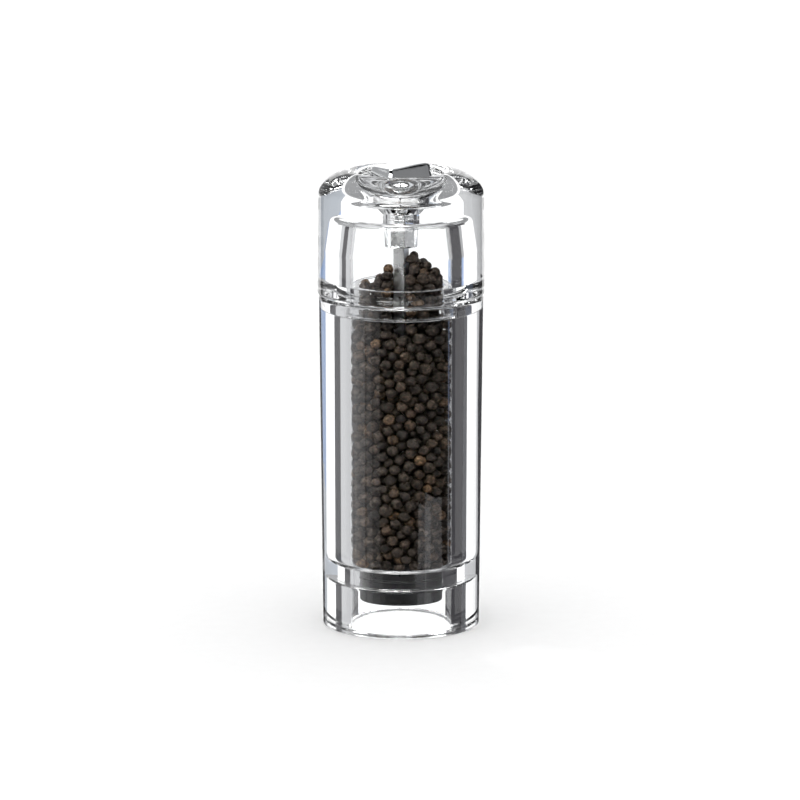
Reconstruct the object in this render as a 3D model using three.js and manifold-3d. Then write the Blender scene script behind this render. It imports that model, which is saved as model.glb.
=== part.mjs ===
// Clear acrylic pepper mill: a clear body and turning head, a square drive shaft, a chrome
// adjusting knob on top and a ceramic grinder under the floor of the reservoir.
// Millimetres, +Z up, origin on the axis at the bottom rim of the body.
import * as THREE from 'three';
import { mergeVertices } from 'three/addons/utils/BufferGeometryUtils.js';
import Module from 'manifold-3d';

const wasm = await Module();
wasm.setup();

// ---- driving dimensions ----
const REST_GAP = 0.3; // between faces that rest on each other
const RUNNING_GAP = 0.3; // radial, between parts that turn or push together

const BODY_HEIGHT = 117.7;
const BODY_BOTTOM_RADIUS = 27.8;
const BODY_TOP_RADIUS = 29.0;
const BORE_RADIUS = 18.0;
const SKIRT_RADIUS = 17.9;
const SKIRT_FILLET = 1.2;
const FLOOR_UNDERSIDE_Z = 16.0;
const FLOOR_TOP_Z = 21.6;
const FLOOR_HOLE_RADIUS = 14.9;
const FLOOR_FILLET = 3.0;
const RIM_BEVEL = 0.8;
const REGISTER_RADIUS = 19.6; // shallow counterbore that centres the head
const REGISTER_DEPTH = 5.5;

const HEAD_BOTTOM_RADIUS = 29.4;
const HEAD_SIDE_RADIUS = 29.1;
const HEAD_FILLET = 2.0;
const SHOULDER_Z = 154.0;
const RIM_Z = 162.2;
const RIM_RADIUS = 17.6;
const SHOULDER_POWER = 1.75; // 2 would be a true ellipse
const DISH_RADIUS = 15.1;
const DISH_FLOOR_Z = 150.6;
const DISH_FILLET = 4.6;
const COUNTERSINK_RADIUS = 6.3;
const SOCKET_SEAT_RADIUS = 4.5;
const SOCKET_SEAT_TOP_Z = 147.9;
const CAVITY_RADIUS = 18.0;
const CAVITY_CEILING_Z = 146.0;
const CAVITY_FILLET = 3.0;
const CAVITY_TOP_RADIUS = 16.6;
const CAVITY_TAPER_Z = 133.0;
const MOUTH_RADIUS = 15.2; // narrower neck of the cavity, behind the register
const MOUTH_TOP_Z = 122.5;

const SOCKET_BOTTOM_Z = 136.3;
const SOCKET_BOTTOM_RADIUS = 5.7;
const SOCKET_TOP_RADIUS = 6.1;

const SHAFT_SIDE = 4.2;
const SHAFT_BORE_SIDE = 4.6;
const SHAFT_TURN = THREE.MathUtils.degToRad(-24.8);
const SHAFT_BOTTOM_Z = 7.0;
const SHAFT_SQUARE_TOP_Z = 144.5;
const SHAFT_TOP_Z = 158.5;
const THREAD_RADIUS = 2.0;

const KNOB_TURN = THREE.MathUtils.degToRad(23.8);
const KNOB_FOOT_RADIUS = 11.7;
const KNOB_FOOT_HEIGHT = 1.6;
const KNOB_WAIST_SIDE = 17.9;
const KNOB_WAIST_Z = 159.0;
const KNOB_TOP_SIDE = 16.0;
const KNOB_CORNER_POWER = 14; // how square the outline is
const KNOB_SHOULDER_Z = 162.6;
const KNOB_EDGE_SHARE = 0.98; // top edge is eased in to this share of the outline
const KNOB_WAVE_LOW_Z = 164.0;
const KNOB_WAVE_RISE = 1.45;
const KNOB_WAVE_SPAN = 1.15; // half-waves across the top
const KNOB_WAVE_TILT = 0.06; // rise towards the front, per millimetre
const KNOB_CREST_ACROSS = 0.86; // beyond this share the crest rolls over
const KNOB_CREST_FALL = 0.9;
const KNOB_RECESS_SPARE = 1.5;
const NUT_RADIUS = 3.6;
const NUT_HEIGHT = 6.0;
const KNOB_WASHER_RADIUS = 9.0;
const KNOB_WASHER_THICKNESS = 0.6;

const RETAINER_BOTTOM_Z = 9.8;
const RETAINER_TOP_Z = 14.2;
const RETAINER_RADIUS = 14.6;
const RETAINER_LIP = 1.2;
const RETAINER_MOUTH_RADIUS = 10.3;
const RETAINER_BEVEL = 0.5;
const HOUSING_RADIUS = FLOOR_HOLE_RADIUS - RUNNING_GAP;
const HOUSING_SPIGOT_RADIUS = 13.2;
const HOUSING_BORE_RADIUS = 11.6;
const HOUSING_TOP_Z = 22.2;
const O_RING_Z = 18.8;
const O_RING_WIRE_RADIUS = 0.4;
const O_RING_PROUD = 0.15;
const BRIDGE_RADIUS = 13.8;
const BRIDGE_RIM_WIDTH = 1.8;
const BRIDGE_HEIGHT = 1.9;
const BRIDGE_HUB_RADIUS = 5.2;
const BRIDGE_ARMS = 3;
const BRIDGE_ARM_WIDTH = 2.6;

const BRIDGE_UNDERSIDE_Z = HOUSING_TOP_Z + REST_GAP;
const CONE_BOTTOM_Z = RETAINER_BOTTOM_Z + RETAINER_LIP;

const STATOR_TEETH = 36;
const ROTOR_TEETH = 30;
const STATOR_RADIUS = 11.3;
const STATOR_INLET = { tip: 9.3, root: 10.3, twist: 0.18 };
const STATOR_BAND = { tip: 8.75, root: 9.5, twist: 0.06 };
const STATOR_OUTLET = { tip: 9.5, root: 10.1, twist: 0 };
const STATOR_DROP = 0.6; // from the top of the housing
const ROTOR_INLET = { tip: 6.0, root: 5.2, twist: -0.26 };
const ROTOR_BAND = { tip: 8.25, root: 7.7, twist: -0.08 };
const ROTOR_OUTLET = { tip: 9.05, root: 8.5, twist: 0 };
const ROTOR_BORE_RADIUS = 4.2;
const ROTOR_HEIGHT = 8.7;
const GRIND_BAND = 3.0; // height of the fine teeth at the outlet
const CARRIER_FLANGE_RADIUS = 6.6;
const CARRIER_FLANGE_THICKNESS = 1.0;
const CARRIER_HUB_HEIGHT = 4.0;

const SPRING_RADIUS = 3.55;
const SPRING_WIRE_RADIUS = 0.35;
const SPRING_TURNS = 4;
const SPRING_STEPS_PER_TURN = 12;
const SPRING_END_GAP = 0.15;
const WASHER_THICKNESS = 0.6;
const UPPER_WASHER_RADIUS = 4.4;
const LOWER_WASHER_RADIUS = 3.9;
const CONE_WASHER_RADIUS = 4.8;
const CLIP_RADIUS = 3.6;
const CLIP_THICKNESS = 0.7;
const CLIP_GAP_ANGLE = THREE.MathUtils.degToRad(35);
const GROOVE_RADIUS = 1.6;

const FILL_CLEARANCE = 0.5;
const HEAP_PEAK_Z = 134.0;
const HEAP_SLOPE = 0.8;

const TURNED_STEPS = 48;
const SMALL_STEPS = 24;
const CURVE_STEPS = 3;

// ---- shape helpers ----

// A solid of revolution about Z. The path runs in the (radius, height) half-plane, up the
// outside first, and either closes on itself or starts and ends on the axis.
function turned(path, steps = TURNED_STEPS) {
  const geometry = new THREE.LatheGeometry(path.getPoints(CURVE_STEPS), steps);
  geometry.rotateX(Math.PI / 2);
  return geometry;
}

// A plain ring or tube between two heights.
function turnedRing(innerRadius, outerRadius, bottom, top, steps = TURNED_STEPS) {
  const path = new THREE.Path();
  path.moveTo(innerRadius, bottom);
  path.lineTo(outerRadius, bottom);
  path.lineTo(outerRadius, top);
  path.lineTo(innerRadius, top);
  path.lineTo(innerRadius, bottom);
  return turned(path, steps);
}

// One closed loop of points about the axis, at radiusAt(angle, index).
function loop(height, radiusAt, { points = TURNED_STEPS, twist = 0, heightAt = null } = {}) {
  return Array.from({ length: points }, (_, index) => {
    const angle = (index / points) * Math.PI * 2;
    const radius = radiusAt(angle, index);
    const x = radius * Math.cos(angle + twist);
    const y = radius * Math.sin(angle + twist);
    return new THREE.Vector3(x, y, heightAt ? heightAt(x, y) : height);
  });
}

const circle = (radius) => () => radius;

const square = (side) => (angle) => side / 2 / Math.max(Math.abs(Math.cos(angle)), Math.abs(Math.sin(angle)));

const roundedSquare = (side, power) => (angle) =>
  side / 2 / (Math.abs(Math.cos(angle)) ** power + Math.abs(Math.sin(angle)) ** power) ** (1 / power);

// One loop of burr teeth: a point on the tip and one on the root of each.
function toothedLoop(height, { tip, root, twist }, points) {
  return loop(height, (angle, index) => (index % 2 ? root : tip), { points, twist });
}

// A skin through loops with the same number of points, up the outside and down the inside.
// It closes on itself, or on a centre point at both ends.
function loft(loops, startCentre = null, endCentre = null) {
  const count = loops[0].length;
  const vertices = loops.flat();
  const faces = [];
  const capped = startCentre !== null;
  const bands = capped ? loops.length - 1 : loops.length;
  for (let band = 0; band < bands; band += 1) {
    const row = band * count;
    const nextRow = ((band + 1) % loops.length) * count;
    for (let column = 0; column < count; column += 1) {
      const after = (column + 1) % count;
      faces.push(row + column, row + after, nextRow + after);
      faces.push(row + column, nextRow + after, nextRow + column);
    }
  }
  if (capped) {
    const lastRow = (loops.length - 1) * count;
    const start = vertices.push(startCentre) - 1;
    const end = vertices.push(endCentre) - 1;
    for (let column = 0; column < count; column += 1) {
      const after = (column + 1) % count;
      faces.push(start, after, column);
      faces.push(end, lastRow + column, lastRow + after);
    }
  }
  const geometry = new THREE.BufferGeometry();
  const positions = vertices.flatMap((vertex) => vertex.toArray());
  geometry.setAttribute('position', new THREE.Float32BufferAttribute(positions, 3));
  geometry.setIndex(faces);
  return geometry;
}

// A ring whose outside and inside outlines differ, such as a round washer with a square hole.
function loftedRing(outerAt, innerAt, bottom, top, points = SMALL_STEPS) {
  return loft([
    loop(bottom, outerAt, { points }),
    loop(top, outerAt, { points }),
    loop(top, innerAt, { points }),
    loop(bottom, innerAt, { points }),
  ]);
}

function toSolid(geometry) {
  const bare = geometry.clone();
  bare.deleteAttribute('normal');
  bare.deleteAttribute('uv');
  const merged = mergeVertices(bare, 1e-4);
  return new wasm.Manifold(new wasm.Mesh({
    numProp: 3,
    vertProperties: new Float32Array(merged.attributes.position.array),
    triVerts: new Uint32Array(merged.index.array),
  }));
}

function toGeometry(solid) {
  const mesh = solid.getMesh();
  const geometry = new THREE.BufferGeometry();
  geometry.setAttribute('position', new THREE.BufferAttribute(mesh.vertProperties, 3));
  geometry.setIndex(new THREE.BufferAttribute(mesh.triVerts, 1));
  return geometry;
}

function cylinder(radius, bottom, top, steps = TURNED_STEPS) {
  const geometry = new THREE.CylinderGeometry(radius, radius, top - bottom, steps);
  geometry.rotateX(Math.PI / 2);
  geometry.translate(0, 0, (bottom + top) / 2);
  return geometry;
}

// ---- materials ----
const finish = (color, roughness, metalness, opacity = 1) =>
  new THREE.MeshStandardMaterial({ color, roughness, metalness, opacity, transparent: opacity < 1 });

const clearAcrylic = () => finish(0xeef4f6, 0.03, 0, 0.3);
const chrome = () => finish(0xd8dadc, 0.06, 1);
const aluminium = () => finish(0xc4c5c4, 0.3, 1);
const steel = () => finish(0xb4b6b8, 0.25, 1);
const brass = () => finish(0xc8a456, 0.3, 1);
const blackPlastic = () => finish(0x17181a, 0.35, 0);
const whiteNylon = () => finish(0xe8e8e4, 0.5, 0);
const ceramic = () => finish(0xe9e4d8, 0.55, 0);
const sealRubber = () => finish(0x202020, 0.8, 0);
const pepper = () => finish(0x3f352d, 0.85, 0);

const assembly = new THREE.Group();

function addPart(name, geometry, material, turn = 0) {
  const mesh = new THREE.Mesh(geometry, material);
  mesh.name = name;
  mesh.rotation.z = turn;
  assembly.add(mesh);
}

// ---- body ----

// Thick drafted wall round a straight bore, with a floor and an open skirt below it.
function bodyShell() {
  const path = new THREE.Path();
  path.moveTo(SKIRT_RADIUS + RIM_BEVEL, 0);
  path.lineTo(BODY_BOTTOM_RADIUS - RIM_BEVEL, 0);
  path.lineTo(BODY_BOTTOM_RADIUS, RIM_BEVEL);
  path.lineTo(BODY_TOP_RADIUS, BODY_HEIGHT - RIM_BEVEL);
  path.lineTo(BODY_TOP_RADIUS - RIM_BEVEL, BODY_HEIGHT);
  path.lineTo(REGISTER_RADIUS, BODY_HEIGHT);
  path.lineTo(REGISTER_RADIUS, BODY_HEIGHT - REGISTER_DEPTH);
  path.lineTo(BORE_RADIUS, BODY_HEIGHT - REGISTER_DEPTH);
  path.absarc(BORE_RADIUS - FLOOR_FILLET, FLOOR_TOP_Z + FLOOR_FILLET, FLOOR_FILLET, 0, -Math.PI / 2, true);
  path.lineTo(FLOOR_HOLE_RADIUS, FLOOR_TOP_Z);
  path.lineTo(FLOOR_HOLE_RADIUS, FLOOR_UNDERSIDE_Z);
  path.lineTo(SKIRT_RADIUS - SKIRT_FILLET, FLOOR_UNDERSIDE_Z);
  path.lineTo(SKIRT_RADIUS, FLOOR_UNDERSIDE_Z - SKIRT_FILLET);
  path.lineTo(SKIRT_RADIUS, RIM_BEVEL);
  path.lineTo(SKIRT_RADIUS + RIM_BEVEL, 0);
  return turned(path);
}

// Bulk of the peppercorns: a plug round the shaft with a heaped top inside the head.
function peppercornFill() {
  const boreRadius = BORE_RADIUS - FILL_CLEARANCE;
  const mouthRadius = MOUTH_RADIUS - FILL_CLEARANCE;
  const shaftRadius = SHAFT_SIDE * Math.SQRT1_2 + FILL_CLEARANCE;
  const bridgeRadius = BRIDGE_RADIUS + FILL_CLEARANCE;
  const bridgeTopZ = BRIDGE_UNDERSIDE_Z + BRIDGE_HEIGHT + FILL_CLEARANCE;
  const floorZ = HOUSING_TOP_Z + FILL_CLEARANCE;
  const neckZ = BODY_HEIGHT - REGISTER_DEPTH - FILL_CLEARANCE;
  const path = new THREE.Path();
  path.moveTo(shaftRadius, bridgeTopZ);
  path.lineTo(bridgeRadius, bridgeTopZ);
  path.lineTo(bridgeRadius, floorZ);
  path.lineTo(BORE_RADIUS - FLOOR_FILLET / 2, floorZ);
  path.lineTo(boreRadius, FLOOR_TOP_Z + FLOOR_FILLET);
  path.lineTo(boreRadius, neckZ);
  path.lineTo(mouthRadius, neckZ + REST_GAP);
  path.lineTo(mouthRadius, HEAP_PEAK_Z - HEAP_SLOPE * mouthRadius);
  path.lineTo(shaftRadius, HEAP_PEAK_Z - HEAP_SLOPE * shaftRadius);
  path.lineTo(shaftRadius, bridgeTopZ);
  return turned(path);
}

// ---- head ----

// Domed outside from the shoulder up to the rim of the dish.
function shoulderPoints() {
  const across = HEAD_SIDE_RADIUS - RIM_RADIUS;
  const rise = RIM_Z - SHOULDER_Z;
  const steps = 8;
  return Array.from({ length: steps }, (_, index) => {
    const inward = Math.cos(((index + 1) / steps) * Math.PI / 2);
    const climb = (1 - inward ** SHOULDER_POWER) ** (1 / SHOULDER_POWER);
    return new THREE.Vector2(RIM_RADIUS + across * inward, SHOULDER_Z + rise * climb);
  });
}

// Solid clear head: a register at the bottom, a dish for the knob on top and, between them, a
// cavity that narrows to its mouth inside the register.
function capShell() {
  const bottom = BODY_HEIGHT + REST_GAP;
  const registerRadius = REGISTER_RADIUS - RUNNING_GAP;
  const registerBottom = BODY_HEIGHT - REGISTER_DEPTH + REST_GAP;
  const lipRadius = RIM_RADIUS - DISH_RADIUS;
  const path = new THREE.Path();
  path.moveTo(MOUTH_RADIUS, registerBottom);
  path.lineTo(registerRadius, registerBottom);
  path.lineTo(registerRadius, bottom);
  path.lineTo(HEAD_BOTTOM_RADIUS - HEAD_FILLET, bottom);
  path.absarc(HEAD_BOTTOM_RADIUS - HEAD_FILLET, bottom + HEAD_FILLET, HEAD_FILLET, -Math.PI / 2, 0, false);
  path.lineTo(HEAD_SIDE_RADIUS, SHOULDER_Z);
  shoulderPoints().forEach((point) => path.lineTo(point.x, point.y));
  path.absarc(RIM_RADIUS, RIM_Z - lipRadius, lipRadius, Math.PI / 2, Math.PI, false);
  path.lineTo(DISH_RADIUS, DISH_FLOOR_Z + DISH_FILLET);
  path.absarc(DISH_RADIUS - DISH_FILLET, DISH_FLOOR_Z + DISH_FILLET, DISH_FILLET, 0, -Math.PI / 2, true);
  path.lineTo(COUNTERSINK_RADIUS, DISH_FLOOR_Z);
  path.lineTo(SOCKET_SEAT_RADIUS, SOCKET_SEAT_TOP_Z);
  path.lineTo(SOCKET_SEAT_RADIUS, CAVITY_CEILING_Z);
  const cornerRadius = CAVITY_TOP_RADIUS - CAVITY_FILLET;
  path.lineTo(cornerRadius, CAVITY_CEILING_Z);
  path.absarc(cornerRadius, CAVITY_CEILING_Z - CAVITY_FILLET, CAVITY_FILLET, Math.PI / 2, 0, true);
  path.lineTo(CAVITY_RADIUS, CAVITY_TAPER_Z);
  path.lineTo(CAVITY_RADIUS, MOUTH_TOP_Z);
  path.lineTo(MOUTH_RADIUS, MOUTH_TOP_Z);
  path.lineTo(MOUTH_RADIUS, registerBottom);
  return turned(path);
}

// Clear drive boss under the roof of the head, with the square bore that turns the shaft.
function capSocket() {
  const bossTop = CAVITY_CEILING_Z - REST_GAP;
  const neckRadius = SOCKET_SEAT_RADIUS - RUNNING_GAP;
  const neckTop = SOCKET_SEAT_TOP_Z - REST_GAP;
  const bore = square(SHAFT_BORE_SIDE);
  return loft([
    loop(SOCKET_BOTTOM_Z, circle(SOCKET_BOTTOM_RADIUS)),
    loop(bossTop, circle(SOCKET_TOP_RADIUS)),
    loop(bossTop, circle(neckRadius)),
    loop(neckTop, circle(neckRadius)),
    loop(neckTop, bore),
    loop(SOCKET_BOTTOM_Z, bore),
  ]);
}

// ---- knob ----

const KNOB_FOOT_Z = DISH_FLOOR_Z + REST_GAP;
const NUT_BOTTOM_Z = KNOB_FOOT_Z + KNOB_WASHER_THICKNESS + REST_GAP;
const NUT_TOP_Z = NUT_BOTTOM_Z + NUT_HEIGHT;

// Height of the wavy top: low along one side, with a crest that rolls over along the other.
function knobTopHeight(x, y) {
  const reach = KNOB_TOP_SIDE / 2;
  const across = THREE.MathUtils.clamp((x + reach) / (2 * reach), 0, 1);
  const wave = (1 - Math.cos(Math.PI * across * KNOB_WAVE_SPAN)) / 2;
  const past = Math.max(0, (across - KNOB_CREST_ACROSS) / (1 - KNOB_CREST_ACROSS));
  return KNOB_WAVE_LOW_Z + KNOB_WAVE_RISE * wave - KNOB_CREST_FALL * past ** 2 - KNOB_WAVE_TILT * (y + reach);
}

// Square block that flares down to a waist and rounds off to a disc at the foot, with a recess
// for the nut and washer.
function adjustingKnob() {
  const points = TURNED_STEPS;
  const outline = roundedSquare(KNOB_TOP_SIDE, KNOB_CORNER_POWER);
  const waist = roundedSquare(KNOB_WAIST_SIDE, KNOB_CORNER_POWER);
  const footTop = KNOB_FOOT_Z + KNOB_FOOT_HEIGHT;
  const flankSteps = 4;
  const topRings = 4;
  const recessRadius = NUT_RADIUS + RUNNING_GAP;
  const recessTop = SHAFT_TOP_Z + KNOB_RECESS_SPARE;
  const washerRecessRadius = KNOB_WASHER_RADIUS + RUNNING_GAP;
  const washerRecessTop = KNOB_FOOT_Z + KNOB_WASHER_THICKNESS + REST_GAP / 2;
  const loops = [
    loop(recessTop, circle(recessRadius), { points }),
    loop(washerRecessTop, circle(recessRadius), { points }),
    loop(washerRecessTop, circle(washerRecessRadius), { points }),
    loop(KNOB_FOOT_Z, circle(washerRecessRadius), { points }),
    loop(KNOB_FOOT_Z, circle(KNOB_FOOT_RADIUS), { points }),
  ];
  for (let step = 0; step <= flankSteps; step += 1) {
    const climb = step / flankSteps;
    const radiusAt = (angle) => THREE.MathUtils.lerp(KNOB_FOOT_RADIUS, waist(angle), climb);
    loops.push(loop(THREE.MathUtils.lerp(footTop, KNOB_WAIST_Z, climb), radiusAt, { points }));
  }
  loops.push(loop(KNOB_SHOULDER_Z, outline, { points }));
  for (let ring = 0; ring < topRings; ring += 1) {
    const share = KNOB_EDGE_SHARE * (1 - ring / topRings);
    const radiusAt = (angle) => outline(angle) * share;
    loops.push(loop(0, radiusAt, { points, heightAt: knobTopHeight }));
  }
  const start = new THREE.Vector3(0, 0, recessTop);
  const end = new THREE.Vector3(0, 0, knobTopHeight(0, 0));
  return loft(loops, start, end);
}

function knobNut() {
  return turnedRing(THREAD_RADIUS + RUNNING_GAP, NUT_RADIUS, NUT_BOTTOM_Z, NUT_TOP_Z, SMALL_STEPS);
}

function knobWasher() {
  const inner = COUNTERSINK_RADIUS + REST_GAP;
  return turnedRing(inner, KNOB_WASHER_RADIUS, KNOB_FOOT_Z, KNOB_FOOT_Z + KNOB_WASHER_THICKNESS, SMALL_STEPS);
}

// ---- grinder, from the bottom up ----

const CARRIER_FLANGE_TOP_Z = CONE_BOTTOM_Z - REST_GAP;
const CARRIER_BOTTOM_Z = CARRIER_FLANGE_TOP_Z - CARRIER_FLANGE_THICKNESS;
const CARRIER_TOP_Z = CONE_BOTTOM_Z + CARRIER_HUB_HEIGHT;
const CONE_WASHER_Z = CARRIER_BOTTOM_Z - REST_GAP - WASHER_THICKNESS;
const CLIP_TOP_Z = CONE_WASHER_Z - REST_GAP;
const LOWER_WASHER_Z = CARRIER_TOP_Z + REST_GAP;
const UPPER_WASHER_Z = BRIDGE_UNDERSIDE_Z - REST_GAP - WASHER_THICKNESS;

// Square bar with a clip groove near its foot and a round threaded end.
function driveShaft() {
  const points = SMALL_STEPS;
  const bar = square(SHAFT_SIDE);
  const grooveBottom = CLIP_TOP_Z - CLIP_THICKNESS - REST_GAP;
  const grooveTop = CLIP_TOP_Z + REST_GAP;
  const loops = [
    loop(SHAFT_BOTTOM_Z, bar, { points }),
    loop(grooveBottom, bar, { points }),
    loop(grooveBottom, circle(GROOVE_RADIUS), { points }),
    loop(grooveTop, circle(GROOVE_RADIUS), { points }),
    loop(grooveTop, bar, { points }),
    loop(SHAFT_SQUARE_TOP_Z, bar, { points }),
    loop(SHAFT_SQUARE_TOP_Z, circle(THREAD_RADIUS), { points }),
    loop(SHAFT_TOP_Z, circle(THREAD_RADIUS), { points }),
  ];
  return loft(loops, new THREE.Vector3(0, 0, SHAFT_BOTTOM_Z), new THREE.Vector3(0, 0, SHAFT_TOP_Z));
}

// Tube pressed up through the floor of the body, with a groove for the O-ring round it and a
// narrower spigot below, which the retainer screws onto.
function grinderHousing() {
  const bottom = CONE_BOTTOM_Z + REST_GAP;
  const stepZ = RETAINER_TOP_Z + REST_GAP;
  const grooveRadius = HOUSING_RADIUS - 2 * O_RING_WIRE_RADIUS;
  const grooveHalfHeight = O_RING_WIRE_RADIUS + 0.1;
  const path = new THREE.Path();
  path.moveTo(HOUSING_BORE_RADIUS, bottom);
  path.lineTo(HOUSING_SPIGOT_RADIUS, bottom);
  path.lineTo(HOUSING_SPIGOT_RADIUS, stepZ);
  path.lineTo(HOUSING_RADIUS, stepZ);
  path.lineTo(HOUSING_RADIUS, O_RING_Z - grooveHalfHeight);
  path.lineTo(grooveRadius, O_RING_Z - grooveHalfHeight);
  path.lineTo(grooveRadius, O_RING_Z + grooveHalfHeight);
  path.lineTo(HOUSING_RADIUS, O_RING_Z + grooveHalfHeight);
  path.lineTo(HOUSING_RADIUS, HOUSING_TOP_Z);
  path.lineTo(HOUSING_BORE_RADIUS, HOUSING_TOP_Z);
  path.lineTo(HOUSING_BORE_RADIUS, bottom);
  return turned(path);
}

// Grips the housing in the floor and keeps pepper dust in.
function housingORing() {
  const centreRadius = HOUSING_RADIUS - O_RING_WIRE_RADIUS + O_RING_PROUD;
  const geometry = new THREE.TorusGeometry(centreRadius, O_RING_WIRE_RADIUS, 6, TURNED_STEPS);
  geometry.translate(0, 0, O_RING_Z);
  return geometry;
}

// Three-armed bridge on top of the housing: its hub steadies the shaft and backs the spring.
function grinderBridge() {
  const top = BRIDGE_UNDERSIDE_Z + BRIDGE_HEIGHT;
  const rimRadius = BRIDGE_RADIUS - BRIDGE_RIM_WIDTH;
  const armEnd = rimRadius + BRIDGE_RIM_WIDTH / 2;
  let solid = toSolid(turnedRing(rimRadius, BRIDGE_RADIUS, BRIDGE_UNDERSIDE_Z, top));
  solid = solid.add(toSolid(cylinder(BRIDGE_HUB_RADIUS, BRIDGE_UNDERSIDE_Z, top, SMALL_STEPS)));
  for (let arm = 0; arm < BRIDGE_ARMS; arm += 1) {
    const box = new THREE.BoxGeometry(armEnd, BRIDGE_ARM_WIDTH, BRIDGE_HEIGHT);
    box.translate(armEnd / 2, 0, BRIDGE_UNDERSIDE_Z + BRIDGE_HEIGHT / 2);
    box.rotateZ((arm / BRIDGE_ARMS) * Math.PI * 2);
    solid = solid.add(toSolid(box));
  }
  const shaftHoleRadius = SHAFT_SIDE * Math.SQRT1_2 + RUNNING_GAP;
  const shaftHole = cylinder(shaftHoleRadius, BRIDGE_UNDERSIDE_Z - 1, top + 1, SMALL_STEPS);
  return toGeometry(solid.subtract(toSolid(shaftHole)));
}

// Fixed ceramic ring: coarse at the top where whole corns enter, fine at the outlet.
function grindingRing() {
  const points = STATOR_TEETH * 2;
  const bottom = CONE_BOTTOM_Z + REST_GAP;
  const top = HOUSING_TOP_Z - STATOR_DROP;
  return loft([
    loop(bottom, circle(STATOR_RADIUS), { points }),
    loop(top, circle(STATOR_RADIUS), { points, twist: STATOR_INLET.twist }),
    toothedLoop(top, STATOR_INLET, points),
    toothedLoop(bottom + GRIND_BAND, STATOR_BAND, points),
    toothedLoop(bottom, STATOR_OUTLET, points),
  ]);
}

// Turning ceramic cone: coarse flutes above, fine teeth at its wide lower end.
function grindingCone() {
  const points = ROTOR_TEETH * 2;
  const top = CONE_BOTTOM_Z + ROTOR_HEIGHT;
  return loft([
    toothedLoop(CONE_BOTTOM_Z, ROTOR_OUTLET, points),
    toothedLoop(CONE_BOTTOM_Z + GRIND_BAND, ROTOR_BAND, points),
    toothedLoop(top, ROTOR_INLET, points),
    loop(top, circle(ROTOR_BORE_RADIUS), { points, twist: ROTOR_INLET.twist }),
    loop(CONE_BOTTOM_Z, circle(ROTOR_BORE_RADIUS), { points }),
  ]);
}

// Plastic core that carries the cone on the square shaft.
function coneCarrier() {
  const points = SMALL_STEPS;
  const hub = circle(ROTOR_BORE_RADIUS - RUNNING_GAP);
  const bore = square(SHAFT_BORE_SIDE);
  return loft([
    loop(CARRIER_BOTTOM_Z, circle(CARRIER_FLANGE_RADIUS), { points }),
    loop(CARRIER_FLANGE_TOP_Z, circle(CARRIER_FLANGE_RADIUS), { points }),
    loop(CARRIER_FLANGE_TOP_Z, hub, { points }),
    loop(CARRIER_TOP_Z, hub, { points }),
    loop(CARRIER_TOP_Z, bore, { points }),
    loop(CARRIER_BOTTOM_Z, bore, { points }),
  ]);
}

// Threaded collar that holds the ceramic ring up into the housing.
function ringRetainer() {
  const path = new THREE.Path();
  path.moveTo(RETAINER_MOUTH_RADIUS, RETAINER_BOTTOM_Z);
  path.lineTo(RETAINER_RADIUS - RETAINER_BEVEL, RETAINER_BOTTOM_Z);
  path.lineTo(RETAINER_RADIUS, RETAINER_BOTTOM_Z + RETAINER_BEVEL);
  path.lineTo(RETAINER_RADIUS, RETAINER_TOP_Z);
  path.lineTo(HOUSING_SPIGOT_RADIUS + RUNNING_GAP, RETAINER_TOP_Z);
  path.lineTo(HOUSING_SPIGOT_RADIUS + RUNNING_GAP, CONE_BOTTOM_Z);
  path.lineTo(RETAINER_MOUTH_RADIUS, CONE_BOTTOM_Z);
  path.lineTo(RETAINER_MOUTH_RADIUS, RETAINER_BOTTOM_Z);
  return turned(path);
}

class Helix extends THREE.Curve {
  constructor(radius, bottom, top, turns) {
    super();
    Object.assign(this, { radius, bottom, top, turns });
  }

  getPoint(t, target = new THREE.Vector3()) {
    const angle = t * this.turns * Math.PI * 2;
    const height = THREE.MathUtils.lerp(this.bottom, this.top, t);
    return target.set(this.radius * Math.cos(angle), this.radius * Math.sin(angle), height);
  }
}

// Pushes the cone down and away from the ring.
function spring() {
  const bottom = LOWER_WASHER_Z + WASHER_THICKNESS + SPRING_WIRE_RADIUS + SPRING_END_GAP;
  const top = UPPER_WASHER_Z - SPRING_WIRE_RADIUS - SPRING_END_GAP;
  const wire = new THREE.Shape();
  wire.absarc(0, 0, SPRING_WIRE_RADIUS, 0, Math.PI * 2, false);
  return new THREE.ExtrudeGeometry(wire, {
    extrudePath: new Helix(SPRING_RADIUS, bottom, top, SPRING_TURNS),
    steps: SPRING_TURNS * SPRING_STEPS_PER_TURN,
    curveSegments: 6,
    bevelEnabled: false,
  });
}

function squareHoleWasher(radius, bottom) {
  return loftedRing(circle(radius), square(SHAFT_BORE_SIDE), bottom, bottom + WASHER_THICKNESS);
}

// Spring clip with one open side, in the groove of the shaft.
function retainingClip() {
  const start = CLIP_GAP_ANGLE;
  const end = Math.PI * 2 - CLIP_GAP_ANGLE;
  const shape = new THREE.Shape();
  shape.absarc(0, 0, CLIP_RADIUS, start, end, false);
  shape.absarc(0, 0, GROOVE_RADIUS + RUNNING_GAP, end, start, true);
  shape.closePath();
  const geometry = new THREE.ExtrudeGeometry(shape, {
    depth: CLIP_THICKNESS,
    curveSegments: 14,
    bevelEnabled: false,
  });
  geometry.translate(0, 0, CLIP_TOP_Z - CLIP_THICKNESS);
  return geometry;
}

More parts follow.
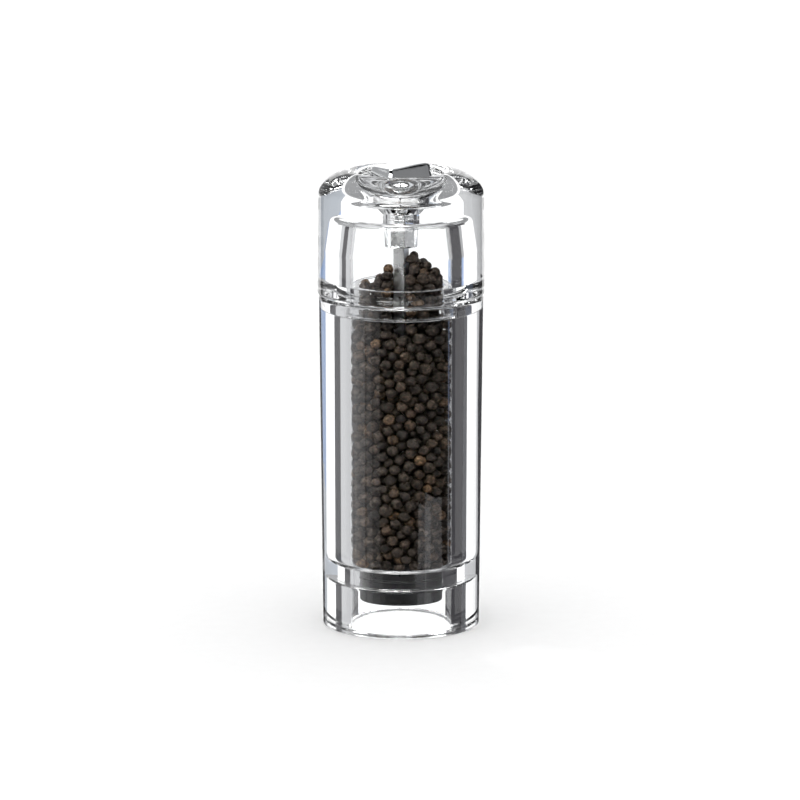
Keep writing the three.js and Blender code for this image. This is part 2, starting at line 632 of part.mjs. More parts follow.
// ---- assembly ----
addPart('body_shell', bodyShell(), clearAcrylic());
addPart('peppercorn_fill', peppercornFill(), pepper());
addPart('cap_shell', capShell(), clearAcrylic());
addPart('cap_socket', capSocket(), clearAcrylic(), SHAFT_TURN);
addPart('adjusting_knob', adjustingKnob(), chrome(), KNOB_TURN);
addPart('knob_nut', knobNut(), brass());
addPart('knob_washer', knobWasher(), whiteNylon());
addPart('drive_shaft', driveShaft(), aluminium(), SHAFT_TURN);
addPart('grinder_housing', grinderHousing(), blackPlastic());
addPart('grinder_bridge', grinderBridge(), blackPlastic());
addPart('housing_o_ring', housingORing(), sealRubber());
addPart('grinding_ring', grindingRing(), ceramic());
addPart('ring_retainer', ringRetainer(), blackPlastic());
addPart('grinding_cone', grindingCone(), ceramic());
addPart('cone_carrier', coneCarrier(), blackPlastic(), SHAFT_TURN);
addPart('spring', spring(), steel());
addPart('upper_spring_washer', squareHoleWasher(UPPER_WASHER_RADIUS, UPPER_WASHER_Z), steel(), SHAFT_TURN);
addPart('lower_spring_washer', squareHoleWasher(LOWER_WASHER_RADIUS, LOWER_WASHER_Z), steel(), SHAFT_TURN);
addPart('cone_washer', squareHoleWasher(CONE_WASHER_RADIUS, CONE_WASHER_Z), steel(), SHAFT_TURN);
addPart('retaining_clip', retainingClip(), steel(), SHAFT_TURN);

export default assembly;
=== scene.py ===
"""Looks of a clear acrylic pepper mill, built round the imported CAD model.

The clear shells, knob, shaft, grinder and peppercorns are rebuilt as fine meshes that stand
for their CAD nodes. Profiles are written in millimetres and turned into metres as they are built.
"""

import math

import bmesh
import bpy
import numpy as np
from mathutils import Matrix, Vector, noise

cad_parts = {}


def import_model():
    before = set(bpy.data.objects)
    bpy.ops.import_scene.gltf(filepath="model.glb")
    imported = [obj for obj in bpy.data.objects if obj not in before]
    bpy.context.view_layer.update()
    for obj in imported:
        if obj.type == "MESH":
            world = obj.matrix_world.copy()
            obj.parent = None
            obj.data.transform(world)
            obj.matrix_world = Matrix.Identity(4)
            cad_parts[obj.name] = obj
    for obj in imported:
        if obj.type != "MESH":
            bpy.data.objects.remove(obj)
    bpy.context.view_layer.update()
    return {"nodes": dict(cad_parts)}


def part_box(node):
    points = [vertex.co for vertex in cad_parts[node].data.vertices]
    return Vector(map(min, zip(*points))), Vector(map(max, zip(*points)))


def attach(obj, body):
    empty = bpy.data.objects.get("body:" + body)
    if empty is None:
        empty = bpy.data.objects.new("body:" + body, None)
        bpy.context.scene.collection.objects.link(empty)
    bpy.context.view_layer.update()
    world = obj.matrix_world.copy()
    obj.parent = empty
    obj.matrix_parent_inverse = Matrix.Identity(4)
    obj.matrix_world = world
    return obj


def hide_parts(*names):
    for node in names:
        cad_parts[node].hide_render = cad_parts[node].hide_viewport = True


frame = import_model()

MM = 0.001
TAU = 2 * math.pi


def node_mm(node):
    """Lowest and highest corner of a CAD node in millimetres."""
    low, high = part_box(node)
    return low / MM, high / MM


# ---- sizes in millimetres, led by the CAD nodes ----
body_low, body_high = node_mm("body_shell")
cap_low, cap_high = node_mm("cap_shell")
knob_low, knob_high = node_mm("adjusting_knob")
shaft_low, shaft_high = node_mm("drive_shaft")
socket_low, socket_high = node_mm("cap_socket")
retainer_low, retainer_high = node_mm("ring_retainer")
housing_low, housing_high = node_mm("grinder_housing")
bridge_low, bridge_high = node_mm("grinder_bridge")

BODY_TOP = body_high.z
BODY_TOP_RADIUS = body_high.x
BODY_BOTTOM_RADIUS = 27.8
BORE_RADIUS = 18.0
BORE_FILLET = 2.9
SKIRT_RADIUS = 17.9
FLOOR_UNDERSIDE = 16.0
FLOOR_TOP = 21.6
FLOOR_HOLE_RADIUS = 14.9
REGISTER_RADIUS = 19.6
REGISTER_DEPTH = 5.5
REST_GAP = 0.3

CAP_BOTTOM = BODY_TOP + REST_GAP
CAP_BOTTOM_RADIUS = cap_high.x
CAP_SIDE_RADIUS = 29.1
SHOULDER_Z = 154.0
SHOULDER_POWER = 1.75
RIM_Z = cap_high.z
RIM_RADIUS = 17.6
DISH_RADIUS = 15.1
DISH_FLOOR = 150.6
DISH_FILLET = 4.6
COUNTERSINK_RADIUS = 6.3
SEAT_RADIUS = 4.5
SEAT_TOP = 147.9
CAVITY_RADIUS = 18.0
CAVITY_TOP_RADIUS = 16.6
CAVITY_TAPER = 133.0
MOUTH_RADIUS = 15.2
MOUTH_TOP = 122.5
CEILING = 146.0
CEILING_FILLET = 3.0
TAPER_FILLET = 6.0

SOCKET_BOTTOM_RADIUS = 5.72
SOCKET_TOP_RADIUS = 6.08
SOCKET_NECK_RADIUS = 4.2

SHAFT_SIDE = 4.2
SHAFT_TURN = math.radians(-24.8)
SHAFT_BORE_SIDE = 4.6
SHAFT_CORNER_POWER = 22
SQUARE_TOP = 144.5
GROOVE_RADIUS = 1.6
THREAD_PITCH = 0.7
THREAD_RADIUS = 2.0
THREAD_DEPTH = 0.38
THREAD_STEPS = 8

KNOB_TURN = math.radians(23.8)
KNOB_FOOT_RADIUS = 11.7
KNOB_WAIST_SIDE = 17.9
KNOB_WAIST = 159.0
KNOB_TOP_SIDE = 16.0
KNOB_SHOULDER = 162.6
KNOB_CORNER_POWER = 14
KNOB_TOP_LOW = 164.0
WAVE_RISE = 1.45
WAVE_REACH = 1.15
CREST_START = 0.86
CREST_DROP = 0.9
BACKWARD_FALL = 0.06
KNOB_BORE_RADIUS = 3.9
WASHER_RECESS_RADIUS = 9.3
WASHER_RECESS_DEPTH = 0.75

HOUSING_BORE_RADIUS = 11.6
SPIGOT_RADIUS = 13.2
GROOVE_DEPTH = 0.8
RETAINER_MOUTH_RADIUS = 10.3
RETAINER_BORE_RADIUS = 13.5
RETAINER_WEB = 1.2

CORN_RADIUS = 1.93
CORN_SPREAD = 0.15
SMALLEST_CORN = 1.55
LARGEST_CORN = 2.3
MOST_CORNS = 3600
CORN_GAP = 0.1
SHAFT_CLEARANCE = SHAFT_SIDE * math.sqrt(0.5) + CORN_GAP
SETTLING_DEPTH = 36
WALL_GAP = 0.08
LAYERS = 5
HEAP_RIGHT = 137.6
HEAP_RIGHT_SLOPE = 0.88
HEAP_LEFT = 130.6
HEAP_LEFT_SLOPE = 0.6
# Above this height no corn lies in front of the shaft, between these two places across it.
SHAFT_SHOWS = 106.0
SHAFT_SHOWS_FROM = -2.6
SHAFT_SHOWS_TO = 1.2
NO_PLACE = 1e6  # height that stands for a blocked place

CAMERA_PITCH = 11.197
PANEL_DISTANCE = 20.0
CARD_DISTANCE = 40
CARD_JOINT = 112
CARD_DISH = 152


# ---- mesh helpers ----
def new_object(name, vertices, faces, material, smooth_angle=30.0):
    """A mesh object from millimetre vertices, smooth except across edges sharper than the angle."""
    mesh = bpy.data.meshes.new(name)
    mesh.from_pydata([tuple(c * MM for c in v) for v in vertices], [], faces)
    mesh.validate()
    mesh.shade_smooth()
    mesh.set_sharp_from_angle(angle=math.radians(smooth_angle))
    mesh.materials.append(material)
    piece = bpy.data.objects.new(name, mesh)
    bpy.context.collection.objects.link(piece)
    return piece


def place(piece, body, slot, *nodes):
    """Ties a piece to its moving body and hides the CAD nodes it stands for; the slot argument is not used.
    """
    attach(piece, body)
    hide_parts(*nodes)
    return piece


def filleted(corners, steps=6):
    """A closed outline from (radius, height, fillet) corners, each fillet drawn as a smooth curve.

    A short straight run on both sides of a fillet keeps its shading off the long walls.
    """
    support = 0.25
    outline = []
    for index, (r, z, fillet) in enumerate(corners):
        here = Vector((r, z))
        if fillet == 0:
            outline.append(here)
            continue
        before = Vector(corners[index - 1][:2]) - here
        after = Vector(corners[(index + 1) % len(corners)][:2]) - here
        run = fillet / math.tan(before.angle(after) / 2)
        start = here + before.normalized() * run
        end = here + after.normalized() * run
        if before.length > run + 3 * support:
            outline.append(start + before.normalized() * support)
        for step in range(steps + 1):
            share = step / steps
            outline.append(start.lerp(here, share).lerp(here.lerp(end, share), share))
        if after.length > run + 3 * support:
            outline.append(end + after.normalized() * support)
    return outline


def turned(name, outline, material, steps=256):
    """A ring-shaped solid of revolution from a closed outline, up the outside and down the inside."""
    vertices = []
    for r, z in outline:
        for step in range(steps):
            angle = TAU * step / steps
            vertices.append((r * math.cos(angle), r * math.sin(angle), z))
    return new_object(name, vertices, band_faces(len(outline), steps, closed=True), material)


def band_faces(rows, count, closed):
    faces = []
    for row in range(rows if closed else rows - 1):
        here, above = row * count, (row + 1) % rows * count
        for column in range(count):
            after = (column + 1) % count
            faces.append((here + column, here + after, above + after, above + column))
    return faces


def loop(z, radius_at, count, turn=0.0, height_at=None):
    """One loop of points about the axis; radius_at takes the angle and the point's number."""
    points = []
    for index in range(count):
        angle = TAU * index / count
        r = radius_at(angle, index)
        x, y = r * math.cos(angle), r * math.sin(angle)
        height = height_at(x, y) if height_at else z
        across = x * math.cos(turn) - y * math.sin(turn)
        along = x * math.sin(turn) + y * math.cos(turn)
        points.append((across, along, height))
    return points


def lofted(name, loops, material, smooth_angle=30.0):
    """A ring-shaped solid through loops that close on themselves."""
    count = len(loops[0])
    vertices = [point for points in loops for point in points]
    return new_object(name, vertices, band_faces(len(loops), count, closed=True), material, smooth_angle)


def capped(name, loops, material, smooth_angle=30.0):
    """A solid through loops, with its first and last loop filled in."""
    count = len(loops[0])
    vertices = [point for points in loops for point in points]
    faces = band_faces(len(loops), count, closed=False)
    last = (len(loops) - 1) * count
    faces.append(tuple(reversed(range(count))))
    faces.append(tuple(range(last, last + count)))
    return new_object(name, vertices, faces, material, smooth_angle)


def circle(radius):
    return lambda angle, index: radius


def rounded_square(side, power):
    """Outline of a square with rounded corners: the higher the power, the sharper the corners."""
    def radius_at(angle, index):
        c, s = abs(math.cos(angle)), abs(math.sin(angle))
        return side / 2 / (c ** power + s ** power) ** (1 / power)
    return radius_at


# ---- materials ----
class Shader:
    """A Principled material and short ways to add the nodes that feed it."""

    def __init__(self, name, **values):
        self.material = bpy.data.materials.new(name)
        self.material.use_nodes = True
        self.nodes = self.material.node_tree.nodes
        self.links = self.material.node_tree.links
        self.surface = self.nodes["Principled BSDF"]
        for socket, value in values.items():
            self.surface.inputs[socket.replace("_", " ")].default_value = value

    def link(self, source, target):
        self.links.new(source, target)

    def position(self, scale=(1, 1, 1)):
        coordinates = self.nodes.new("ShaderNodeTexCoord")
        mapping = self.nodes.new("ShaderNodeMapping")
        mapping.inputs["Scale"].default_value = scale
        self.link(coordinates.outputs["Object"], mapping.inputs["Vector"])
        return mapping.outputs["Vector"]

    def noise(self, vector, scale, detail=4.0, roughness=0.55):
        node = self.nodes.new("ShaderNodeTexNoise")
        node.inputs["Scale"].default_value = scale
        node.inputs["Detail"].default_value = detail
        node.inputs["Roughness"].default_value = roughness
        self.link(vector, node.inputs["Vector"])
        return node.outputs["Fac"]

    def cells(self, vector, scale, feature="F1"):
        node = self.nodes.new("ShaderNodeTexVoronoi")
        node.feature = feature
        node.inputs["Scale"].default_value = scale
        self.link(vector, node.inputs["Vector"])
        return node.outputs["Distance"]

    def remap(self, value, low, high, new_low, new_high):
        node = self.nodes.new("ShaderNodeMapRange")
        limits = {"From Min": low, "From Max": high, "To Min": new_low, "To Max": new_high}
        for socket, number in limits.items():
            node.inputs[socket].default_value = number
        self.link(value, node.inputs["Value"])
        return node.outputs["Result"]

    def ramp(self, value, stops):
        """A colour ramp through (position, colour) stops."""
        node = self.nodes.new("ShaderNodeValToRGB")
        elements = node.color_ramp.elements
        while len(elements) < len(stops):
            elements.new(0.5)
        for element, (place_at, colour) in zip(elements, stops):
            element.position = place_at
            element.color = (*colour, 1)
        self.link(value, node.inputs["Fac"])
        return node.outputs["Color"]

    def multiply(self, a, b):
        node = self.nodes.new("ShaderNodeMix")
        node.data_type = "RGBA"
        node.blend_type = "MULTIPLY"
        node.clamp_result = True
        node.inputs["Factor"].default_value = 1.0
        self.link(a, node.inputs["A"])
        self.link(b, node.inputs["B"])
        return node.outputs["Result"]

    def bump(self, height, strength, distance):
        """Adds relief on top of any relief that the surface already has."""
        node = self.nodes.new("ShaderNodeBump")
        node.inputs["Strength"].default_value = strength
        node.inputs["Distance"].default_value = distance
        self.link(height, node.inputs["Height"])
        if self.surface.inputs["Normal"].is_linked:
            previous = self.surface.inputs["Normal"].links[0].from_socket
            self.link(previous, node.inputs["Normal"])
        self.link(node.outputs["Normal"], self.surface.inputs["Normal"])

    def drive(self, socket, value):
        """Feeds a socket of the Principled node."""
        self.link(value, self.surface.inputs[socket])


def clear_acrylic():
    """Polished acrylic: almost perfect, with faint handling haze and slow moulding waves."""
    s = Shader("clear_acrylic", IOR=1.49, Transmission_Weight=1.0, Roughness=0.01)
    at = s.position()
    tint = s.ramp(s.noise(at, 25.0, 2.0), [(0.3, (0.985, 0.992, 0.995)), (0.7, (0.995, 0.998, 1.0))])
    s.drive("Base Color", tint)
    s.drive("Roughness", s.remap(s.noise(at, 160.0, 5.0), 0.5, 0.85, 0.004, 0.05))
    s.bump(s.noise(at, 45.0, 1.0), 0.15, 0.0001)
    return s.material


def polished_chrome():
    """Bright plate over a slightly wavy casting, with faint fingerprints."""
    s = Shader("knob_chrome", Metallic=1.0, Roughness=0.05)
    at = s.position()
    s.drive("Base Color", s.ramp(s.noise(at, 90.0), [(0.3, (0.80, 0.81, 0.82)), (0.7, (0.90, 0.91, 0.92))]))
    s.drive("Roughness", s.remap(s.noise(at, 420.0, 6.0), 0.45, 0.8, 0.03, 0.14))
    s.bump(s.noise(at, 110.0, 1.5), 0.25, 0.0002)
    return s.material


def drawn_aluminium():
    """Drawn bar: fine lines along its length and a satin oxide."""
    s = Shader("shaft_aluminium", Metallic=1.0, Roughness=0.3)
    lines = s.noise(s.position((1, 1, 0.02)), 2600.0, 3.0)
    marks = s.noise(s.position(), 240.0, 5.0)
    s.drive("Base Color", s.ramp(lines, [(0.3, (0.82, 0.82, 0.82)), (0.7, (0.94, 0.94, 0.93))]))
    s.drive("Roughness", s.remap(marks, 0.3, 0.75, 0.22, 0.42))
    s.bump(lines, 0.3, 0.00004)
    return s.material


def steel():
    """Small stainless parts, drawn or stamped."""
    s = Shader("small_steel", Metallic=1.0, Roughness=0.25)
    marks = s.noise(s.position((1, 1, 6)), 700.0, 4.0)
    s.drive("Base Color", s.ramp(marks, [(0.3, (0.52, 0.53, 0.54)), (0.7, (0.70, 0.71, 0.72))]))
    s.drive("Roughness", s.remap(marks, 0.3, 0.7, 0.18, 0.36))
    s.bump(marks, 0.2, 0.00003)
    return s.material


def brass():
    """Turned insert of the knob."""
    s = Shader("nut_brass", Metallic=1.0, Roughness=0.25)
    marks = s.noise(s.position((1, 1, 8)), 600.0, 4.0)
    s.drive("Base Color", s.ramp(marks, [(0.3, (0.62, 0.45, 0.20)), (0.7, (0.82, 0.66, 0.36))]))
    s.drive("Roughness", s.remap(marks, 0.3, 0.7, 0.2, 0.4))
    return s.material


def black_plastic():
    """Moulded black plastic with a fine satin grain and a dusting of ground pepper."""
    s = Shader("grinder_black", Roughness=0.4, Specular_IOR_Level=0.5)
    at = s.position()
    dust = s.noise(at, 520.0, 6.0)
    s.drive("Base Color", s.ramp(dust, [(0.45, (0.016, 0.016, 0.018)), (0.8, (0.035, 0.032, 0.030))]))
    s.drive("Roughness", s.remap(dust, 0.3, 0.8, 0.26, 0.5))
    s.bump(s.noise(at, 3200.0, 3.0), 0.25, 0.00005)
    return s.material


def nylon():
    """Natural nylon, slightly milky."""
    s = Shader("washer_nylon", Roughness=0.5, Subsurface_Weight=0.1)
    at = s.position()
    s.drive("Base Color", s.ramp(s.noise(at, 300.0), [(0.3, (0.80, 0.79, 0.76)), (0.7, (0.90, 0.90, 0.87))]))
    s.bump(s.noise(at, 2200.0, 3.0), 0.2, 0.00004)
    return s.material


def ceramic():
    """Sintered alumina: warm white, faintly speckled, grey where pepper has rubbed it."""
    s = Shader("grinder_ceramic", Roughness=0.55)
    at = s.position()
    rubbed = s.ramp(s.noise(at, 380.0, 6.0), [(0.35, (0.82, 0.79, 0.71)), (0.75, (0.60, 0.55, 0.46))])
    specks = s.ramp(s.cells(at, 1500.0), [(0.02, (0.55, 0.5, 0.42)), (0.12, (1.0, 1.0, 1.0))])
    s.drive("Base Color", s.multiply(rubbed, specks))
    s.drive("Roughness", s.remap(s.noise(at, 900.0), 0.3, 0.7, 0.4, 0.65))
    s.bump(s.noise(at, 2600.0, 4.0), 0.35, 0.00006)
    return s.material


def seal_rubber():
    """Matt black seal."""
    s = Shader("seal_rubber", Roughness=0.75)
    at = s.position()
    bloom = s.ramp(s.noise(at, 700.0), [(0.3, (0.02, 0.02, 0.02)), (0.7, (0.045, 0.045, 0.045))])
    s.drive("Base Color", bloom)
    s.bump(s.noise(at, 2800.0, 3.0), 0.3, 0.00005)
    return s.material


def peppercorn_skin():
    """Dried skin: nearly black to tan from corn to corn, mottled, with fine wrinkles whose valleys are
    darkened by painted shade.
    """
    s = Shader("peppercorns", Roughness=0.7, Specular_IOR_Level=0.35)
    at = s.position()
    shade = s.nodes.new("ShaderNodeAttribute")
    shade.attribute_name = "shade"
    ripe = s.ramp(shade.outputs["Fac"], [
        (0.0, (0.060, 0.046, 0.038)),
        (0.50, (0.130, 0.096, 0.072)),
        (0.78, (0.210, 0.138, 0.088)),
        (0.93, (0.360, 0.215, 0.110)),
        (1.0, (0.600, 0.400, 0.220)),
    ])
    mottle = s.ramp(s.noise(at, 900.0, 5.0), [(0.35, (0.30, 0.27, 0.25)), (0.65, (1.0, 1.0, 1.0))])
    # Painted shade: the colour darkens away from the cell centres, down in the grooves that the bump below
    # sinks in.
    painted_crease_shade = s.ramp(s.cells(at, 1300.0, "SMOOTH_F1"), [(0.2, (1.0, 1.0, 1.0)), (0.6, (0.34, 0.32, 0.3))])
    s.drive("Base Color", s.multiply(s.multiply(ripe, mottle), painted_crease_shade))
    s.drive("Roughness", s.remap(s.noise(at, 1500.0, 3.0), 0.3, 0.7, 0.5, 0.85))
    s.bump(s.cells(at, 1300.0, "SMOOTH_F1"), 0.9, -0.0003)
    s.bump(s.noise(at, 3500.0, 3.0), 0.4, 0.0001)
    return s.material


def white_floor():
    """White paper with a barely uneven tone."""
    s = Shader("stage_floor", Roughness=0.9)
    paper = s.noise(s.position(), 180.0, 5.0)
    s.drive("Base Color", s.ramp(paper, [(0.3, (0.94, 0.94, 0.94)), (0.7, (0.96, 0.96, 0.96))]))
    return s.material


ACRYLIC = clear_acrylic()
CHROME = polished_chrome()
ALUMINIUM = drawn_aluminium()
STEEL = steel()
BLACK = black_plastic()
CERAMIC = ceramic()
RUBBER = seal_rubber()
PEPPER = peppercorn_skin()


# ---- clear shells ----
def body_shell():
    """Thick drafted wall, straight bore, floor with a round hole, and an open skirt."""
    ledge = BODY_TOP - REGISTER_DEPTH
    outline = filleted([
        (SKIRT_RADIUS, 0, 0.8),
        (BODY_BOTTOM_RADIUS, 0, 0.9),
        (BODY_TOP_RADIUS, BODY_TOP, 0.8),
        (REGISTER_RADIUS, BODY_TOP, 0.4),
        (REGISTER_RADIUS, ledge, 0.3),
        (BORE_RADIUS, ledge, 0.4),
        (BORE_RADIUS, FLOOR_TOP, BORE_FILLET),
        (FLOOR_HOLE_RADIUS, FLOOR_TOP, 0),
        (FLOOR_HOLE_RADIUS, FLOOR_UNDERSIDE, 0.25),
        (SKIRT_RADIUS, FLOOR_UNDERSIDE, 1.0),
    ])
    return place(turned("clear_body", outline, ACRYLIC), "mill_body", "clear_acrylic", "body_shell")


def shoulder():
    """Domed outside of the head, from its side up to the rim of the dish."""
    steps = 24
    points = []
    for step in range(steps):
        inward = math.cos((step / steps) * math.pi / 2)
        climb = (1 - inward ** SHOULDER_POWER) ** (1 / SHOULDER_POWER)
        r = RIM_RADIUS + (CAP_SIDE_RADIUS - RIM_RADIUS) * inward
        points.append((r, SHOULDER_Z + (RIM_Z - SHOULDER_Z) * climb, 0))
    return points


def dish_lip():
    """Rounded inner edge of the rim, down to the wall of the dish."""
    steps = 12
    lip = RIM_RADIUS - DISH_RADIUS
    points = []
    for step in range(steps + 1):
        angle = math.pi / 2 * (1 + step / steps)
        points.append((RIM_RADIUS + lip * math.cos(angle), RIM_Z - lip + lip * math.sin(angle), 0))
    return points


def cap_shell():
    """Solid head: register below, dish for the knob on top, cavity with a narrow mouth inside."""
    register_bottom = BODY_TOP - REGISTER_DEPTH + REST_GAP
    register_radius = REGISTER_RADIUS - REST_GAP
    outline = filleted([
        (MOUTH_RADIUS, register_bottom, 0.3),
        (register_radius, register_bottom, 0.5),
        (register_radius, CAP_BOTTOM, 0.3),
        (CAP_BOTTOM_RADIUS, CAP_BOTTOM, 2.0),
        *shoulder(),
        *dish_lip(),
        (DISH_RADIUS, DISH_FLOOR, DISH_FILLET),
        (COUNTERSINK_RADIUS, DISH_FLOOR, 0.3),
        (SEAT_RADIUS, SEAT_TOP, 0.2),
        (SEAT_RADIUS, CEILING, 0.2),
        (CAVITY_TOP_RADIUS, CEILING, CEILING_FILLET),
        (CAVITY_RADIUS, CAVITY_TAPER, TAPER_FILLET),
        (CAVITY_RADIUS, MOUTH_TOP, 0.3),
        (MOUTH_RADIUS, MOUTH_TOP, 0.4),
    ], steps=10)
    return place(turned("clear_head", outline, ACRYLIC), "head", "clear_acrylic", "cap_shell")


def cap_socket():
    """Tapered boss with a square bore and a round neck above it."""
    count = 160
    bevel_top = socket_low.z + 0.45
    boss_top = CEILING - REST_GAP
    outside = [
        (SOCKET_BOTTOM_RADIUS - 0.42, socket_low.z),
        (SOCKET_BOTTOM_RADIUS - 0.1, socket_low.z + 0.12),
        (SOCKET_BOTTOM_RADIUS, bevel_top),
        (SOCKET_TOP_RADIUS, boss_top - 0.1),
        (SOCKET_TOP_RADIUS - 0.1, boss_top),
        (SOCKET_NECK_RADIUS, boss_top),
        (SOCKET_NECK_RADIUS, socket_high.z),
    ]
    bore = rounded_square(SHAFT_BORE_SIDE, 16)
    mouth = rounded_square(SHAFT_BORE_SIDE + 0.7, 16)
    loops = [loop(z, circle(r), count, SHAFT_TURN) for r, z in outside]
    loops += [loop(z, bore, count, SHAFT_TURN) for z in (socket_high.z, bevel_top)]
    loops += [loop(socket_low.z, mouth, count, SHAFT_TURN)]
    return place(lofted("clear_drive_boss", loops, ACRYLIC), "head", "clear_acrylic", "cap_socket")


# ---- knob ----
def knob_top_height(x, y):
    """The wave: low along one side, with a crest that rolls over along the other."""
    reach = KNOB_TOP_SIDE / 2
    across = min(max((x + reach) / (2 * reach), 0), 1)
    wave = (1 - math.cos(math.pi * across * WAVE_REACH)) / 2
    past = max(0, (across - CREST_START) / (1 - CREST_START))
    return KNOB_TOP_LOW + WAVE_RISE * wave - CREST_DROP * past ** 2 - BACKWARD_FALL * (y + reach)


def blended(low_outline, high_outline, share):
    """Outline part of the way from one outline to another."""
    return lambda angle, index: (
        low_outline(angle, index) * (1 - share) + high_outline(angle, index) * share)


def knob():
    """Square block with a wavy top that flares down to a waist and rounds off to its foot disc."""
    count = 192
    foot, foot_radius = knob_low.z, KNOB_FOOT_RADIUS
    top_outline = rounded_square(KNOB_TOP_SIDE, KNOB_CORNER_POWER)
    waist = rounded_square(KNOB_WAIST_SIDE, KNOB_CORNER_POWER)
    recess_top = foot + WASHER_RECESS_DEPTH
    round_part = [
        (KNOB_BORE_RADIUS, shaft_high.z + 1.5),
        (KNOB_BORE_RADIUS, recess_top),
        (WASHER_RECESS_RADIUS, recess_top),
        (WASHER_RECESS_RADIUS, foot),
        (foot_radius - 0.4, foot),
        (foot_radius - 0.1, foot + 0.12),
        (foot_radius, foot + 0.4),
        (foot_radius, foot + 1.4),
    ]
    loops = [loop(z, circle(r), count, KNOB_TURN) for r, z in round_part]

    steps = 12
    flare_bottom = foot + 1.6
    for step in range(steps + 1):
        share = step / steps
        height = flare_bottom + (KNOB_WAIST - flare_bottom) * share
        loops.append(loop(height, blended(circle(foot_radius), waist, share), count, KNOB_TURN))
    for step in range(1, steps + 1):
        share = step / steps
        height = KNOB_WAIST + (KNOB_SHOULDER - KNOB_WAIST) * share
        loops.append(loop(height, blended(waist, top_outline, share), count, KNOB_TURN))

    def top_ring(share, drop):
        return loop(
            0, lambda angle, index: top_outline(angle, index) * share, count, KNOB_TURN,
            lambda x, y: knob_top_height(x, y) - drop)

    rounded_edge = ((0.999, 0.45), (0.993, 0.2), (0.982, 0.06), (0.965, 0.0))
    loops += [top_ring(share, drop) for share, drop in rounded_edge]
    loops += [top_ring(0.96 * (1 - ring / steps), 0.0) for ring in range(1, steps)]
    piece = capped("chrome_knob", loops, CHROME, smooth_angle=40)
    return place(piece, "knob", "knob_chrome", "adjusting_knob")


# ---- shaft ----
def thread_outline(z):
    """Section of a single-start thread at one height."""
    def radius_at(angle, index):
        phase = (z / THREAD_PITCH - angle / TAU) % 1
        ridge = 1 - abs(2 * phase - 1)
        return THREAD_RADIUS - THREAD_DEPTH * (1 - min(1.0, ridge * 1.2))
    return radius_at


def drive_shaft():
    """Square bar with eased edges, a clip groove near its foot and a real screw thread on top."""
    count = 48
    bar = rounded_square(SHAFT_SIDE, SHAFT_CORNER_POWER)
    eased = rounded_square(SHAFT_SIDE - 0.5, SHAFT_CORNER_POWER)
    clip_low, clip_high = node_mm("retaining_clip")
    groove_bottom, groove_top = clip_low.z - REST_GAP, clip_high.z + REST_GAP
    sections = [
        (shaft_low.z, eased),
        (shaft_low.z + 0.3, bar),
        (groove_bottom, bar),
        (groove_bottom, circle(GROOVE_RADIUS)),
        (groove_top, circle(GROOVE_RADIUS)),
        (groove_top, bar),
        (SQUARE_TOP - 0.3, bar),
        (SQUARE_TOP, circle(THREAD_RADIUS - 0.1)),
    ]
    rows = int((shaft_high.z - SQUARE_TOP - 0.6) / THREAD_PITCH * THREAD_STEPS)
    for row in range(1, rows):
        z = SQUARE_TOP + 0.2 + row * THREAD_PITCH / THREAD_STEPS
        sections.append((z, thread_outline(z)))
    sections.append((shaft_high.z, circle(THREAD_RADIUS - 0.5)))
    loops = [loop(z, outline, count, SHAFT_TURN) for z, outline in sections]
    piece = capped("square_shaft", loops, ALUMINIUM, smooth_angle=12)
    return place(piece, "shaft", "shaft_aluminium", "drive_shaft")


# ---- grinder ----
def housing():
    """Tube through the floor, with a groove for the O-ring and a spigot for the retainer."""
    ring_low, ring_high = node_mm("housing_o_ring")
    groove_bottom, groove_top = ring_low.z - 0.1, ring_high.z + 0.1
    outer, bottom, top = housing_high.x, housing_low.z, housing_high.z
    groove_radius = outer - GROOVE_DEPTH
    step = retainer_high.z + REST_GAP
    outline = filleted([
        (HOUSING_BORE_RADIUS, bottom, 0.2),
        (SPIGOT_RADIUS, bottom, 0.2),
        (SPIGOT_RADIUS, step, 0.15),
        (outer, step, 0.3),
        (outer, groove_bottom, 0.1),
        (groove_radius, groove_bottom, 0.1),
        (groove_radius, groove_top, 0.1),
        (outer, groove_top, 0.1),
        (outer, top, 0.4),
        (HOUSING_BORE_RADIUS, top, 0.3),
    ], steps=4)
    tube = turned("grinder_tube", outline, BLACK, 160)
    return place(tube, "mill_body", "grinder_black", "grinder_housing")


def o_ring():
    """Round section that grips the housing."""
    low, high = node_mm("housing_o_ring")
    wire = (high.z - low.z) / 2
    centre_r, centre_z = high.x - wire, (low.z + high.z) / 2
    steps = 16
    outline = []
    for step in range(steps):
        angle = TAU * step / steps
        outline.append((centre_r + wire * math.cos(angle), centre_z + wire * math.sin(angle)))
    return place(turned("o_ring", outline, RUBBER, 160), "mill_body", "seal_rubber", "housing_o_ring")


def retainer():
    """Collar under the floor, with a bevelled mouth."""
    outer, bottom, top = retainer_high.x, retainer_low.z, retainer_high.z
    web_top = bottom + RETAINER_WEB
    outline = filleted([
        (RETAINER_MOUTH_RADIUS, bottom, 0.3),
        (outer, bottom, 0.7),
        (outer, top, 0.2),
        (RETAINER_BORE_RADIUS, top, 0.1),
        (RETAINER_BORE_RADIUS, web_top, 0.1),
        (RETAINER_MOUTH_RADIUS, web_top, 0.15),
    ], steps=5)
    collar = turned("retainer_collar", outline, BLACK, 160)
    return place(collar, "mill_body", "grinder_black", "ring_retainer")


def toothed(tip, root, points_per_tooth):
    """Teeth with a steep face and a sloping back."""
    def radius_at(angle, index):
        share = index % points_per_tooth / points_per_tooth
        climb = share / 0.75 if share < 0.75 else (1 - share) / 0.25
        return root + (tip - root) * climb
    return radius_at


